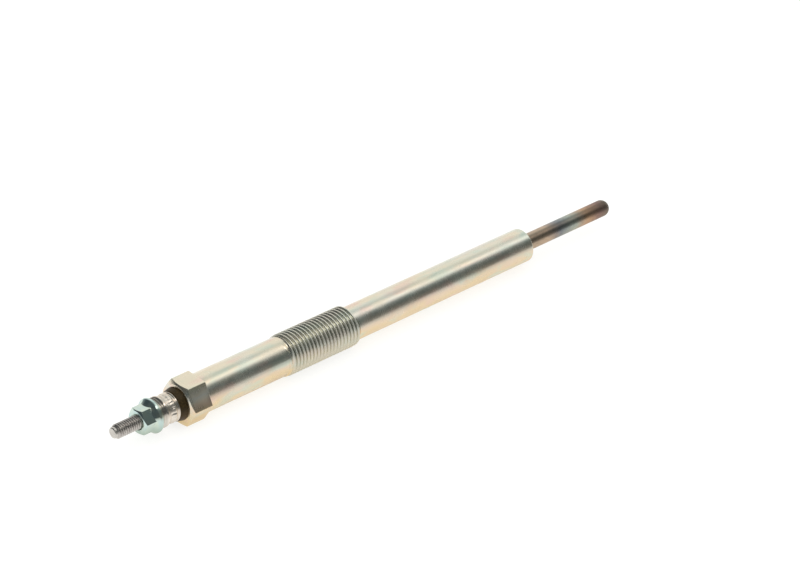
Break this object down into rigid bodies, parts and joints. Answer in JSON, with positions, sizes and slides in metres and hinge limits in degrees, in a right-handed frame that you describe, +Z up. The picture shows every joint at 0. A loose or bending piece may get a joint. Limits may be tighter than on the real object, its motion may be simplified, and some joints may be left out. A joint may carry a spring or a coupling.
{
  "type": "diesel glow plug",
  "caption": "Long diesel glow plug with a threaded steel body, a hexagon, a sheathed heater rod tinted by heat and a screw terminal with a flange nut.",
  "frame": {"origin": "on the plug's axis at the sealing seat, where the lower shank ends", "axes": "+X along the axis towards the heater tip, +Z up with the plug lying on a flat of its hexagon, +Y across"},
  "size_m": [0.1898, 0.0138, 0.012],
  "materials": {
    "body_zinc": "zinc plate with a yellow iridescent passivation, semi-bright",
    "sheath_alloy": "nickel alloy tube with heat tint bands from brown to blue",
    "pin_steel": "bare rolled steel, satin",
    "nut_zinc": "zinc plate with a blue passivation, bright",
    "ring_nickel": "nickel plate over turned and crimped steel",
    "bush_phenolic": "dark brown moulded phenolic, satin",
    "seal_rubber": "black fluoroelastomer, matt",
    "magnesia": "compacted white powder, matt",
    "coil_wire": "drawn resistance wire"
  },
  "bodies": {
    "root": {"plug_body": "body_zinc", "heater_sheath": "sheath_alloy", "centre_pin": "pin_steel", "terminal_nut": "nut_zinc", "terminal_ring": "ring_nickel", "insulating_bush": "bush_phenolic", "body_seal": "seal_rubber", "sheath_seal": "seal_rubber", "magnesia_filling": "magnesia", "control_coil": "coil_wire", "heating_coil": "coil_wire"}
  },
  "joints": []
}
